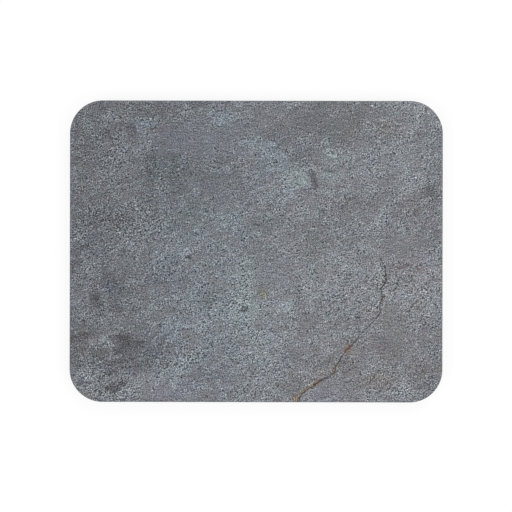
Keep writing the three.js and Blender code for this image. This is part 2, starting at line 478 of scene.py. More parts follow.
# Soft patches: middle, half sizes, turn in degrees, and the shift of all colours or of red, green and blue
PATCHES = (
    # Broad ones
    ((-45, -8), (58, 120), 0, (-2, 0.5, 1.5)),
    ((105, -98), (60, 38), 0, (1, -1, -1.5)),
    ((125, -35), (42, 30), 0, (1.5, -0.5, -2)),
    ((0, 112), (130, 26), 0, -3),
    ((-70, 48), (70, 32), 0, -6),
    ((-53, 97), (45, 14), 0, (-1.5, -0.5, 2)),
    # Dark, on the left, from the top down
    ((-57, 129), (12, 5), 0, -8),
    ((-40, 129), (14, 6), 0, -7),
    ((-131, 127), (9, 6), 0, (-9, -9, -8)),
    ((-78, 127), (12, 7), 0, (-9, -9, -8)),
    ((-92, 123), (11, 9), 0, -8),
    ((-111, 105), (9, 7), 0, (-10, -10, -8)),
    ((-133, 103), (12, 9), 0, -8),
    ((-157, 100), (7, 22), 0, -6),
    ((-138, 84), (14, 13), 0, (-6, -7, -7)),
    ((-32, 79), (9, 6), 0, -6),
    ((-80, 73), (20, 11), 0, (-16, -14, -15)),
    ((-24, 73), (12, 9), 0, -7),
    ((-80, 72), (18, 10), 0, -3),
    ((-46, 72), (14, 11), 0, (-3, -2, -3)),
    ((-75, 68), (6, 6), 0, -5),
    ((-92, 62), (8, 9), 0, -5),
    ((-8, 57), (8, 7), 0, -7),
    ((-70, 55), (10, 7), 0, -7),
    ((-128, 31), (22, 11), 0, -9),
    ((-88, 29), (6, 6), 0, -8),
    ((-160, 24), (5, 6), 0, (-10, -10, -9)),
    ((-128, 24), (24, 7), 0, (-7, -8, -8)),
    ((-152, 22), (8, 7), 0, -7),
    ((-105, 18), (12, 7), 0, -6),
    ((-9, 15), (8, 7), 0, (-8, -7, -7)),
    ((-148, 4), (7, 9), 0, -6),
    ((-145, 4), (16, 12), 0, (-7, -6, -5)),
    ((-133, -1), (7, 7), 0, -5),
    ((-157, -12), (7, 9), 0, -8),
    ((-82, -23), (18, 9), 0, (-6, -6, -4)),
    ((-125, -27), (12, 11), 0, (-9, -9, -8)),
    ((-56, -32), (7, 4), 0, -5),
    ((-140, -43), (8, 6), 0, -7),
    ((-120, -43), (10, 10), 0, (-8, -8, -7)),
    ((-44, -43), (10, 7), 0, (-8, -5, -7)),
    ((-152, -62), (12, 6), 0, -6),
    ((-153, -74), (12, 8), 0, (-8, -9, -9)),
    ((-113, -80), (11, 9), 0, -6),
    ((-92, -84), (17, 11), 0, (-12, -12, -11)),
    ((-56, -85), (7, 5), 0, (-4, -8, -8)),
    ((-156, -87), (9, 14), 0, (-6, -8, -9)),
    ((-139, -88), (10, 8), 0, (-7, -8, -9)),
    ((-88, -92), (8, 12), 0, -6),
    ((-122, -96), (18, 11), 0, (-12, -13, -12)),
    ((-100, -100), (12, 7), 0, -3),
    ((-35, -106), (18, 7), 0, (-4, -3, -1)),
    ((-126, -117), (8, 8), 0, (-5, -6, -6)),
    # Dark, on the right, from the top down
    ((65, 128), (15, 6), 0, -7),
    ((46, 112), (18, 12), 0, (-7, -7, -6)),
    ((84, 110), (13, 13), 0, (-6, -7, -8)),
    ((113, 106), (10, 7), 0, (1, -2, -5)),
    ((65, 104), (10, 7), 0, (-8, -5, -8)),
    ((17, 97), (10, 9), 0, (-8, -8, -7)),
    ((70, 91), (10, 8), 20, -7),
    ((41, 86), (9, 10), 0, (-11, -11, -10)),
    ((33, 74), (6, 6), 0, -9),
    ((153, 53), (9, 8), 0, (-8, -9, -9)),
    ((17, 49), (7, 7), 0, -5),
    ((17, 45), (6, 5), 0, -5),
    ((87, 42), (15, 7), 0, (-7, -9, -9)),
    ((135, 38), (10, 9), 0, (-6, -9, -9)),
    ((157, 38), (6, 16), 0, (-6, -7, -7)),
    ((142, 36), (7, 7), 0, -7),
    ((125, 27), (10, 10), 0, -5),
    ((34, 25), (8, 7), 0, -5),
    ((72, 25), (11, 5), 0, -8),
    ((8, 23), (11, 9), 0, (-7, -5, -7)),
    ((152, 20), (13, 11), 0, (-6, -7, -7)),
    ((52, 7), (10, 19), 0, (-6, -5, -7)),
    ((60, -4), (5, 5), 0, -5),
    ((126, -14), (8, 6), 0, -5),
    ((96, -42), (9, 5), 0, -4),
    ((18, -47), (6, 4), 0, -5),
    ((115, -86), (12, 9), 0, (-6, -7, -7)),
    ((158, -88), (6, 12), 0, -6),
    ((30, -91), (10, 8), 0, (-7, -7, -6)),
    ((47, -96), (8, 8), 0, -6),
    ((66, -96), (9, 7), 0, -5),
    ((82, -98), (6, 8), 0, (-8, -11, -12)),
    ((146, -108), (14, 10), 0, (-9, -11, -11)),
    ((46, -110), (6, 6), 0, -7),
    ((106, -111), (12, 8), 0, (-4, -7, -10)),
    ((30, -115), (11, 8), 0, -7),
    ((150, -122), (12, 12), 0, (-7, -7, -6)),
    # Pale, on the left, from the top down
    ((-30, 114), (10, 7), 0, (5, 9, 11)),
    ((-98, 110), (7, 6), 0, (1, 3, 6)),
    ((-47, 99), (20, 5), 0, 4),
    ((-102, 78), (9, 9), 0, 5),
    ((-118, 53), (9, 9), 0, (3, 3, 2)),
    ((-110, 47), (7, 7), 0, 7),
    ((-126, 31), (5, 5), 0, 6),
    ((-27, 29), (15, 10), 0, (4, 6, 6)),
    ((-44, 20), (18, 6), 0, 6),
    ((-107, 6), (8, 9), 0, 7),
    ((-103, 2), (4, 8), 0, 5),
    ((-60, 2), (8, 11), 0, 7),
    ((-8, -18), (12, 11), 0, (4, 8, 8)),
    ((-156, -40), (7, 12), 0, (4, 5, 6)),
    ((-56, -41), (6, 8), 0, 7),
    ((-10, -50), (16, 17), 0, (5, 9, 7.5)),
    ((-5, -52), (12, 9), 0, 6),
    ((-38, -62), (16, 8), 0, 8),
    ((-128, -64), (12, 9), 0, 5),
    ((-72, -64), (18, 7), 0, 6),
    ((-73, -69), (9, 9), 0, (5, 7, 10)),
    ((-132, -72), (5, 7), 0, 6),
    ((-60, -96), (24, 7), 28, (4, 7, 7)),
    ((-144, -110), (13, 9), 0, 7),
    ((-80, -112), (15, 11), 0, 9),
    ((-27, -117), (5, 5), 0, 6),
    ((-105, -119), (20, 10), 0, (7, 7, 8)),
    ((-69, -122), (18, 11), 0, (6, 5, 9)),
    ((-48, -124), (14, 5), 0, 6),
    ((-110, -126), (45, 5), 0, 5),
    # Pale, on the right, from the top down
    ((148, 119), (15, 11), 0, (7, 8, 8)),
    ((131, 110), (8, 8), 0, 7),
    ((132, 88), (8, 28), 0, 3),
    ((66, 82), (9, 8), 0, (4, 8, 6)),
    ((17, 80), (33, 11), -37, (3, 7, 9)),
    ((110, 80), (34, 14), 0, (3, 4, 4)),
    ((135, 76), (17, 5), 0, 6),
    ((80, 66), (9, 6), 0, (6, 7, 7)),
    ((61, 64), (9, 5), 0, (6, 8, 8)),
    ((38, 62), (9, 8), 0, (4, 5, 5)),
    ((46, 61), (6, 5), 0, 7),
    ((34, 60), (10, 7), 0, (5, 7, 6)),
    ((140, 60), (6, 9), 0, 8),
    ((130, 55), (7, 7), 0, 5),
    ((129, 50), (8, 7), 0, 5),
    ((25, 49), (11, 8), 0, (6, 8, 9)),
    ((110, 29), (10, 8), 0, (5, 6, 6)),
    ((130, 14), (8, 8), 0, 6),
    ((16, 13), (10, 7), 0, 7),
    ((97, 10), (5, 5), 0, 7),
    ((62, -3), (8, 13), 0, 4),
    ((73, -8), (9, 10), 0, (5, 6, 5)),
    ((107, -8), (7, 14), 0, 7),
    ((138, -9), (20, 7), 0, 5),
    ((135, -11), (23, 9), 0, (3, 1, 2)),
    ((34, -20), (34, 14), 0, 5),
    ((150, -25), (11, 13), 0, (7, 6, 7)),
    ((90, -27), (12, 7), 0, 4),
    ((68, -29), (10, 9), 0, 7),
    ((48, -35), (11, 12), 0, (5, 6, 6)),
    ((120, -40), (24, 12), 0, (5, 6, 6)),
    ((46, -41), (6, 5), 0, 6),
    ((20, -43), (10, 13), 0, 6),
    ((25, -50), (9, 7), 0, (9, 11, 11)),
    ((60, -75), (12, 9), 0, 6),
    ((62, -77), (9, 5), 0, 4),
    ((8, -82), (20, 14), 0, (4, 5, 5)),
    ((34, -82), (8, 8), 0, 7),
    ((45, -90), (5, 6), 0, 6),
    ((51, -112), (10, 6), 35, (7, 6, 5)),
    ((128, -120), (7, 7), 0, 7),
    ((50, -121), (7, 6), 0, (7, 7, 8)),
    ((63, -121), (16, 11), 0, (3, 3, 6)),
    # Tints, which hardly change the tone
    ((5, 68), (8, 10), 0, (-2.5, 0, 2.5)),
    ((35, 67), (6, 8), 0, (2, 0, -3)),
    ((-63, 31), (20, 15), 0, (-2, 0.5, 0)),
    ((18, -22), (14, 13), 0, (0.5, 0, 1.5)),
    ((-10, -25), (10, 22), 0, (2, 0, -2)),
    ((56, -106), (9, 5), 0, (2, -1, -3)),
    ((-152, -126), (10, 8), 0, (4, 1, -4)),
)
PATCH_FADE = (1.6, 0.3)

# Blotches with a firmer outline, given as the patches are
BLOTCHES = (
    # Dark
    ((149, 52), (9, 6), 25, (-9, -10, -11)),
    ((-124, 29), (16, 6), 0, -4),
    ((-127, -28), (9, 6), 0, (-8, -8, -7)),
    ((-141, -40), (6, 8), 0, (-13, -13, -12)),
    ((-137, -51), (4, 5), 0, -11),
    ((-154, -74), (10, 4), 10, (-11, -12, -12)),
    ((-118, -76), (9, 5), 20, (-6, -7, -7)),
    ((-102, -81), (10, 4), 10, -5),
    ((-122, -118), (9, 5), 20, (-12, -13, -13)),
    # Pale
    ((38, 66), (9, 6), -30, (5, 7, 7)),
    ((27, -48), (7, 5), 0, (6, 8, 8)),
)
BLOTCH_FADE = (1.3, 0.7)

# Small marks, given as the patches are, with a finer drift and a firmer outline
MARKS = (
    # The dark notch right of the middle, and the pale flakes above it
    ((50.6, 61), (2.6, 8.5), 10, (-29, -31, -32)),
    ((43.8, 68.4), (4, 2.2), -20, -20),
    ((63.9, 70.1), (6.5, 2), 0, -18),
    ((51.7, 76.7), (4, 2.5), 0, -12),
    ((50.8, 71.9), (2.2, 1.6), 0, (16, 17, 17)),
    ((65.6, 83.2), (4.5, 1.4), -25, (32, 36, 36)),
    ((62.1, 87.1), (1.8, 1.5), 0, (18, 20, 20)),
    ((66, 67), (12, 1.7), 0, (9, 12, 12)),
    # Thin lines and pale wisps along the slanting pale band
    ((60, 32), (13, 0.9), -42, -18),
    ((26, 87), (11, 0.8), -48, -14),
    ((23.8, 83.6), (6, 1.2), -50, (16, 18, 20)),
    ((29.9, 74.9), (4, 1.3), -30, (7, 8, 9)),
    ((13.5, 93), (5, 1.2), -35, (12, 14, 16)),
    # Dark spots
    ((-10, -50), (3.2, 2.6), 0, -68),
    ((37, -37), (4, 7), 0, -7),
    ((-117.5, 86.3), (1.1, 1.1), 0, -36),
    # Deep pits, most of them in a row at the lower left
    ((-50.5, -89), (1.6, 1.2), 30, -64),
    ((-45, -91), (1.6, 1.2), 30, -60),
    ((-55, -94.2), (1.6, 1.2), 30, -58),
    ((-43, -84), (1.5, 1.1), 30, -56),
    ((-77, -98.5), (1.8, 1.3), 30, -58),
    ((-70, -98.5), (1.7, 1.2), 30, -54),
    ((-58, -4.5), (2, 1.6), 0, -64),
    ((-31, -65.5), (1.6, 1.2), 30, -50),
    ((-43, -125.5), (1.4, 1.2), 0, -55),
    ((-83, -64.5), (1.4, 1.2), 0, -50),
    ((88, -57.5), (2.2, 1.3), 0, -50),
    # Dark cracks and the bits of dark blotches on the left
    ((-144.5, -37.5), (2.2, 3), 0, -16),
    ((-138.5, -40.5), (3.4, 2), 0, -14),
    ((-140.5, -48), (3, 1.6), 20, -10),
    ((-96, -74), (4, 1.4), 0, (-14, -15, -15)),
    ((-115.5, -75), (7.5, 2.2), -15, (-26, -27, -27)),
    ((-101.5, -79.5), (5, 1.6), 10, (-14, -15, -15)),
    ((-113.5, -81), (3.8, 3.4), 0, (-21, -22, -22)),
    ((-92, -86), (5, 2), 30, (-14, -15, -15)),
    ((-118.5, -86.5), (4, 2), 0, (-22, -23, -23)),
    ((-113, -95), (10, 1.8), 12, (-13, -14, -14)),
    ((-103, -100), (7, 1.6), 12, (-12, -13, -13)),
    ((-127, -106), (8, 1.5), 30, -24),
    ((-148, -114.2), (8, 1), 3, -30),
    ((-116.6, -115), (5, 1.8), 25, -38),
    ((-126.6, -117.7), (5.5, 2), 15, (-24, -26, -26)),
    ((-122.2, -121.2), (4.2, 2.4), 20, -34),
    ((-138.4, -126.4), (3, 1.1), 35, -30),
    # Pale wisps and crust on the left
    ((-154, 12), (1.3, 6), 30, 19),
    ((-61, 1.5), (1.1, 3.2), -30, (15, 16, 16)),
    ((-148, -3), (5, 1.2), 30, 18),
    ((-158, -6), (3, 2), 0, (16, 16, 17)),
    ((-146, -40), (1.2, 7), 10, (20, 20, 21)),
    ((-155, -70), (6, 1), 10, 26),
    ((-142.7, -78.5), (4, 5), 0, (16, 17, 17)),
    ((-131, -79), (6, 4.5), 0, (10, 11, 11)),
    ((-126.6, -88.1), (1.2, 8), -8, (24, 25, 25)),
    ((-123.5, -92.4), (4, 1.5), 10, (24, 25, 25)),
    ((-144.4, -108), (9, 4.5), 0, (10, 11, 12)),
    # Pale specks along the top and at the upper left
    ((-37, 129), (2.2, 1.2), 0, (20, 21, 21)),
    ((-61, 127), (1.8, 1.2), 0, (24, 25, 25)),
    ((-49, 125), (1.6, 1.1), 0, (24, 25, 25)),
    ((-7, 123), (3.5, 1), 20, (24, 25, 25)),
    ((-132.3, 116.8), (2.2, 0.9), -25, (26, 26, 25)),
    ((-125.3, 115), (1.6, 1.2), 0, 20),
    ((-98, 110.5), (4.2, 3.2), 0, (6, 9, 13)),
    ((-116.6, 107.2), (2.2, 1.1), 0, (22, 20, 15)),
    ((-117, 86.5), (3.6, 2.6), 0, (12, 15, 18)),
    # Olive and brown stains
    ((6, -37), (3.6, 5), 20, (-2, -5, -18)),
    ((109, -110), (6, 1.2), 0, (-5, -7, -13)),
    ((53, -85.5), (5, 1), 0, (-5, -7, -13)),
    ((146, -104), (4.5, 1.8), 10, (-6, -8, -12)),
    ((96, -51), (2.5, 1.5), 0, (-6, -8, -14)),
    # Cracks, brown and pale spots near the vein and right of it
    ((120.5, -14.9), (7, 7), 0, (-3, -5, -5)),
    ((139.3, -43.6), (2.4, 1), 40, (-40, -42, -44)),
    ((136, -46.6), (1.6, 1), -20, (-30, -32, -34)),
    ((118, -34.5), (3.6, 1), 20, (-26, -34, -40)),
    ((111, -40.5), (2.2, 3), 0, (-8, -16, -22)),
    ((125.8, -39.3), (7, 5), 0, (7, 7, 11)),
    ((128, -12.5), (8, 0.8), 20, (-10, -16, -16)),
    ((151, -1), (8, 0.8), 20, (-18, -22, -22)),
    ((144, -16), (7, 0.8), -25, (-12, -20, -20)),
    ((137, -27), (0.8, 7), 20, (-14, -20, -20)),
    ((152, -24), (6, 0.8), 40, (-14, -20, -20)),
    # The rusty spot on the vein, and the brown stain along its lower end
    ((80.2, -84.3), (2.5, 4.2), -32, (-6, -25, -34)),
    ((80.4, -79), (1, 2.4), 0, (0, -9, -11)),
    ((70.4, -99.4), (1.6, 3.2), -35, (2, -3, -15)),
    ((66.9, -104.2), (3.8, 2.8), 40, (-4, -18, -31)),
    ((52.6, -114.7), (5, 2.6), 38, (-1, -14, -29)),
    ((45.6, -118.6), (5, 2.3), 35, (1, -9, -24)),
    ((39.5, -122.5), (3.4, 2.2), 40, (-1, -9, -21)),
    ((35, -127.7), (3.4, 3.8), 30, (-3, -18, -36)),
)
MARK_FADE = (1.4, 0.5)
MARK_DRIFT_NOISE = (5, 4.0, 0.6)
MARK_DRIFT_REACH = 5

# Clouds between the patches, their weight on red, green and blue, and the play of tints
CLOUD_NOISE = (12, 5.0, 0.66, 1.2)
CLOUD_LEVELS = 26
CLOUD_TINT = (0.88, 1.04, 1.06)
TINT_NOISE = (9, 3.0, 0.6)
TINT_LEVELS = (10.5, 5.5, 10.5)

# Pale crust over the bare stone: its outline, its tone over the bare stone's, and the printed light and shade
# along its flakes' edges, lit from the upper left
CRUST_NOISE = (9, 3.5, 0.6)
CRUST_EDGE = (0.47, 0.54)
CRUST_LEVELS = (7.1, 9.9, 11.0)
CRUST_PER_LEVEL = 0.0035
COARSE_RANGE = (0.28, 0.8)
FLAKE_STEP = (-0.4, 0.95, 0)
FLAKE_LEVELS = 15

# Where there is more crust or less than the tone suggests
CRUST_PATCHES = (
    # Crust
    ((-127, 77), (13, 12), 0, 0.14),
    ((-88, 71), (18, 11), 0, 0.16),
    ((-108, 27), (26, 14), 0, 0.32),
    ((-150, 5), (12, 20), 0, 0.12),
    ((95, -34), (26, 18), 30, 0.12),
    ((145, -35), (20, 22), 0, 0.08),
    ((-27, -38), (30, 22), 0, 0.06),
    ((-60, -92), (32, 8), 30, 0.16),
    ((5, -98), (14, 26), 0, 0.08),
    ((-130, -112), (30, 16), 0, 0.18),
    ((138, -118), (22, 14), 0, 0.07),
    # Bare stone
    ((50, 116), (60, 16), 0, -0.14),
    ((-50, 99), (40, 13), 0, -0.18),
    ((51, 63), (5, 9), 0, -0.3),
    ((-40, 60), (22, 12), 0, -0.18),
    ((125, 5), (18, 12), 0, -0.08),
    ((15, -20), (16, 14), 0, -0.16),
    ((-142, -41), (6, 8), 0, -0.12),
    ((115, -75), (30, 16), 30, -0.1),
    ((45, -80), (20, 16), 0, -0.08),
    ((60, -120), (30, 10), 0, -0.1),
    ((-60, -122), (40, 12), 10, -0.1),
)

# Fine lines along the tray in the bare stone
STREAK_NOISE = (1.6, 1.0)
STREAK_STRETCH = (8, 1)
STREAK_LEVELS = 34

# Grains, the flecks that they form, and small pits: spacing, radius and tone, in fine and in coarse stone
GRAIN_SIZE = 0.58
GRAIN_LEVELS = (77, 180)
GRAIN_TINT = (1.012, 1.0, 0.99)
GRAIN_SHADOW = 0.36
GRAIN_SHADOW_STEPS = ((0.8, 0.3, 0), (-0.3, 0.8, 0))
FLECK_NOISE = (3.0, 2.0, 0.6)
FLECK_LEVELS = (8, 36)
PIT_SPACING = 3.0
PIT_RADIUS = 0.9
PIT_FLOOR_RADIUS = 0.54
PIT_LEVELS = -135
PIT_CHANCE = (-0.3, 0.75)
PIT_SHALLOWEST = 0.3
PIT_RIM = 0.14
PIT_RIM_STEP = (-0.5, 1.0, 0)

# Dark cracks and pale wisps in coarse stone: the noise that they follow, their width in it, and their tone
LINE_NOISE = (2.6, 1.0)
LINE_STRETCH = (1.1, 1.1)
LINE_EDGE = (0.06, 0.015)
LINE_GAPS = (0.42, 0.52)
LINE_COARSE = (0.25, 0.8)
CRACK_LEVELS = -42
WISP_LEVELS = 18

# Fine unevenness of the surface
BUMP_NOISE = (1.2, 2.0)
BUMP_DEPTH = 0.03 * MM

# The vein: the points of its line with the line's half width there
VEIN_PATH = (
    (106.7, -3.0, 0.7),
    (109.7, -9.6, 0.9),
    (111.8, -14.0, 0.8),
    (112.1, -18.3, 0.7),
    (112.4, -22.7, 1.1),
    (112.3, -26.2, 1.0),
    (110.5, -29.2, 0.7),
    (108.6, -31.9, 0.6),
    (108.3, -34.9, 0.6),
    (110.1, -39.3, 0.9),
    (108.3, -43.6, 0.8),
    (107.5, -48.9, 0.6),
    (107.0, -54.1, 0.5),
    (102.2, -60.2, 0.45),
    (96.1, -66.3, 0.4),
    (91.8, -70.2, 0.45),
    (87.4, -76.3, 0.4),
    (83.1, -81.1, 0.45),
    (77.4, -87.2, 0.45),
    (73.0, -93.8, 0.5),
    (69.1, -100.3, 0.5),
    (68.5, -104.2, 0.6),
    (64.8, -107.7, 0.7),
    (56.9, -111.4, 0.9),
    (50.8, -116.0, 0.6),
    (43.8, -120.8, 0.6),
    (39.0, -125.6, 0.6),
    (36.4, -131.2, 0.6),
)
VEIN_WIDEST = 1.2

# The vein's tone, its soft edge in half widths, its ends as shares of its length, and its weaker stretches
VEIN_LEVELS = (-66, -70, -72)
VEIN_EDGE = (1.6, 0.4)
VEIN_START = (-0.005, 0.01)
VEIN_END = (1.03, 1.0)
VEIN_GAP_SIZE = 3
VEIN_GAP_EDGE = (0.3, 0.52)
VEIN_GAP_STRENGTH = 0.6


def drifting(n, place, settings, reach):
    """The place, pushed about by noise, so that what is drawn there gets an uneven outline."""
    return n.vector("MULTIPLY_ADD", n.noise_vector(place, *settings), (reach, reach, 0), place)


def patch_masks(n, place, patches, fade):
    """Each oval patch as a mask, 1 in its middle and fading to 0 outside, and what it adds there.

    Patches that are turned alike share their axes.
    """
    for turn in sorted({patch[2] for patch in patches}):
        turned = n.turned(place, turn) if turn else place
        for middle, (half_x, half_y), _, amount in (patch for patch in patches if patch[2] == turn):
            x, y = Vector(middle) @ Matrix.Rotation(math.radians(turn), 2)
            stretch = (1 / half_x, 1 / half_y, 0)
            local = n.vector("MULTIPLY_ADD", turned, stretch, (-x / half_x, -y / half_y, 0))
            yield n.remap(n.length(local), *fade), amount


def patch_layer(n, place, total, patches, fade):
    shifts = (0, 0, 0)
    for mask, shift in patch_masks(n, place, patches, fade):
        colours = shift if isinstance(shift, tuple) else (shift, shift, shift)
        shifts = n.add_scaled(shifts, colours, mask)
    return n.vector("ADD", total, shifts)


def crust_masks(n, place, tone):
    """Where the crust is and how coarse the stone is, from 0 to 1, and the light and shade of flakes."""
    bias = 0
    for mask, amount in patch_masks(n, place, CRUST_PATCHES, PATCH_FADE):
        bias = n.math("MULTIPLY_ADD", mask, amount, bias)
    levels = n.math("SUBTRACT", n.split(tone)[1], STONE_TONE[1])
    bias = n.math("MULTIPLY_ADD", levels, CRUST_PER_LEVEL, bias)
    fields = []
    for spot in (place, n.vector("ADD", place, FLAKE_STEP)):
        drawn_out = n.local(spot, turn=BEDDING_TURN, size=CLOUD_STRETCH)
        fields.append(n.math("ADD", n.noise(drawn_out, *CRUST_NOISE), bias))
    crust, beside = (n.remap(field, *CRUST_EDGE) for field in fields)
    coarse = n.remap(fields[0], *COARSE_RANGE, smooth=False)
    return crust, coarse, n.math("SUBTRACT", crust, beside)


def shade_layer(n, place, total):
    across = n.split(place)[0]
    shade = n.remap(across, SHADE_FROM_X, SHADE_TO_X, *SHADE_LEVELS)
    return n.add_scaled(total, SHADE_TINT, shade)


def cloud_layer(n, place, total):
    drawn_out = n.local(place, turn=BEDDING_TURN, size=CLOUD_STRETCH)
    levels = n.math("MULTIPLY", n.about_zero(n.noise(drawn_out, *CLOUD_NOISE)), CLOUD_LEVELS)
    return n.add_scaled(total, CLOUD_TINT, levels)


def tint_layer(n, place, total):
    return n.vector("MULTIPLY_ADD", n.noise_vector(place, *TINT_NOISE), TINT_LEVELS, total)


def between(n, mask, levels):
    """A value that goes from a first to a second level as a mask goes from 0 to 1."""
    return n.remap(mask, 0, 1, *levels, smooth=False)


def streak_levels(n, place, crust):
    lengthways = n.local(place, size=STREAK_STRETCH)
    streak = n.about_zero(n.noise(lengthways, *STREAK_NOISE))
    return n.math("MULTIPLY", streak, between(n, crust, (STREAK_LEVELS, 0)))


def grain_tone(n, place):
    """A random tone for each grain, about 0."""
    return n.about_zero(n.split(n.cells(place, GRAIN_SIZE)["Color"])[0])


def grain_levels(n, place, coarse):
    """Grains, darker beside pale neighbours and paler beside dark ones, and the flecks that they form."""
    drawn_out = n.local(place, turn=BEDDING_TURN, size=GRAIN_STRETCH)
    grain = grain_tone(n, drawn_out)
    for step in GRAIN_SHADOW_STEPS:
        beside = grain_tone(n, n.vector("ADD", drawn_out, step))
        grain = n.math("MULTIPLY_ADD", beside, -GRAIN_SHADOW, grain)
    levels = n.math("MULTIPLY", grain, between(n, coarse, GRAIN_LEVELS))
    fleck = n.about_zero(n.noise(drawn_out, *FLECK_NOISE))
    return n.math("MULTIPLY_ADD", fleck, between(n, coarse, FLECK_LEVELS), levels)


def line_levels(n, place, coarse):
    """Dark cracks and pale wisps along the level lines of two noises, with gaps where a third one is low."""
    drawn_out = n.local(place, turn=BEDDING_TURN, size=LINE_STRETCH)
    cracks, wisps, gaps = n.split(n.noise(drawn_out, *LINE_NOISE, output="Color"))
    levels = 0
    for field, tone in ((cracks, CRACK_LEVELS), (wisps, WISP_LEVELS)):
        line = n.remap(n.math("ABSOLUTE", n.about_zero(field)), *LINE_EDGE)
        levels = n.math("MULTIPLY_ADD", line, tone, levels)
    strength = n.math("MULTIPLY", n.remap(gaps, *LINE_GAPS), n.remap(coarse, *LINE_COARSE))
    return n.math("MULTIPLY", levels, strength)


def pit_mask(n, place, coarse):
    """How deep the small pits are, from 0 to 1; they are most frequent in coarse stone."""
    cells = n.cells(n.local(place, turn=BEDDING_TURN), PIT_SPACING)
    spot = n.remap(cells["Distance"], PIT_RADIUS / PIT_SPACING, PIT_FLOOR_RADIUS / PIT_SPACING)
    draw, depth, _ = n.split(cells["Color"])
    depth = n.remap(depth, 0, 1, PIT_SHALLOWEST, 1, smooth=False)
    drawn = n.math("LESS_THAN", draw, between(n, coarse, PIT_CHANCE))
    return n.math("MULTIPLY", n.math("MULTIPLY", spot, depth), drawn)


def pit_levels(n, place, coarse):
    """Dark pits, each with a pale rim on the side away from the light."""
    rim = n.math("MULTIPLY", pit_mask(n, n.vector("ADD", place, PIT_RIM_STEP), coarse), -PIT_RIM * PIT_LEVELS)
    return n.math("MULTIPLY_ADD", pit_mask(n, place, coarse), PIT_LEVELS, rim)


def curve_through(n, value, points):
    """A smooth curve through points whose both coordinates run from 0 to 1."""
    curve = n.add("ShaderNodeFloatCurve", {"Value": value})
    knots = curve.mapping.curves[0].points
    for point in points[1:-1]:
        knots.new(*point)
    for knot, point in zip(knots, points):
        knot.location = point
    curve.mapping.update()
    return curve.outputs[0]


def vein_layer(n, place, total):
    """A thin dark line along the vein's path, placed along and beside the straight line between its ends."""
    corners = [Vector(point[:2]) for point in VEIN_PATH]
    chord = corners[-1] - corners[0]
    way = chord.normalized()
    side = Vector((-way.y, way.x))
    shares = [(corner - corners[0]).dot(way) / chord.length for corner in corners]
    offsets = [(corner - corners[0]).dot(side) for corner in corners]
    low, high = min(offsets), max(offsets)
    heights = [(offset - low) / (high - low) for offset in offsets]
    widths = [point[2] / VEIN_WIDEST for point in VEIN_PATH]
    local = n.local(place, VEIN_PATH[0][:2], math.degrees(math.atan2(way.y, way.x)))
    along_mm, beside_mm, _ = n.split(local)
    along = n.math("DIVIDE", along_mm, chord.length)
    middle = n.remap(curve_through(n, along, list(zip(shares, heights))), 0, 1, low, high, smooth=False)
    half_width = n.math("MULTIPLY", curve_through(n, along, list(zip(shares, widths))), VEIN_WIDEST)
    beside = n.math("DIVIDE", n.math("ABSOLUTE", n.math("SUBTRACT", beside_mm, middle)), half_width)
    line = n.remap(beside, *VEIN_EDGE)
    ends = n.math("MULTIPLY", n.remap(along, *VEIN_START), n.remap(along, *VEIN_END))
    strength = n.remap(n.noise(place, VEIN_GAP_SIZE), *VEIN_GAP_EDGE, VEIN_GAP_STRENGTH, 1.0)
    return n.add_scaled(total, VEIN_LEVELS, n.math("MULTIPLY", n.math("MULTIPLY", line, ends), strength))


def stone_material():
    n = Nodes("stone_print")
    place = n.unrolled(SERVING_Z)
    drift = drifting(n, place, DRIFT_NOISE, DRIFT_REACH)
    mark_drift = drifting(n, place, MARK_DRIFT_NOISE, MARK_DRIFT_REACH)
    tone = patch_layer(n, drift, STONE_TONE, PATCHES, PATCH_FADE)
    crust, coarse, flakes = crust_masks(n, drift, tone)
    total = patch_layer(n, drift, tone, BLOTCHES, BLOTCH_FADE)
    total = patch_layer(n, mark_drift, total, MARKS, MARK_FADE)
    total = shade_layer(n, place, total)
    total = cloud_layer(n, drift, total)
    total = tint_layer(n, drift, total)
    total = vein_layer(n, place, total)
    total = n.add_scaled(total, CRUST_LEVELS, crust)
    # Printed light and shade of the crust's flake edges: pale on the upper left, dark on the lower right
    levels = n.math("MULTIPLY", flakes, FLAKE_LEVELS)
    levels = n.math("ADD", levels, streak_levels(n, place, crust))
    levels = n.math("ADD", levels, line_levels(n, mark_drift, coarse))
    levels = n.math("ADD", levels, pit_levels(n, place, coarse))
    levels = n.math("ADD", levels, grain_levels(n, mark_drift, coarse))
    total = n.vector("MULTIPLY", n.add_scaled(total, GRAIN_TINT, levels), (LEVEL, LEVEL, LEVEL))
    light = n.add("ShaderNodeGamma", {"Color": total, "Gamma": PICTURE_GAMMA}).outputs[0]
    colour = n.vector("MAXIMUM", n.vector("SUBTRACT", light, SHEEN), DARKEST_INK)
    rough = between(n, crust, STONE_ROUGHNESS)
    bumps = n.bump(n.noise(place, *BUMP_NOISE), BUMP_DEPTH)
    return n.set(Base_Color=colour, Roughness=rough, Normal=bumps)


# The moulding: its colour, and how much haze, specks, scuffs and a worn rim lighten or darken it
MELAMINE_COLOUR = (0.062, 0.064, 0.068)
HAZE_NOISE = (18, 3.0, 0.6)
HAZE_SHARE = 0.3
SPECK_NOISE = (0.6, 1.0)
SPECK_SHARE = 0.7
SCUFF_NOISE = (0.4, 1.0)
SCUFF_STRETCH = 16
SCUFF_EDGE = (0.6, 0.72)
SCUFF_SHARE = 0.5
STEEP_EDGE = (0.6, 0.2)
WORN_HEIGHT = 1.2 * MM
WORN_SHARE = 0.55
DULL_RANGE = (0.3, 1.2)
MELAMINE_ROUGHNESS = (0.34, 0.5)
PEEL_NOISE = (1.6, 1.0)
PEEL_DEPTH = 0.02 * MM


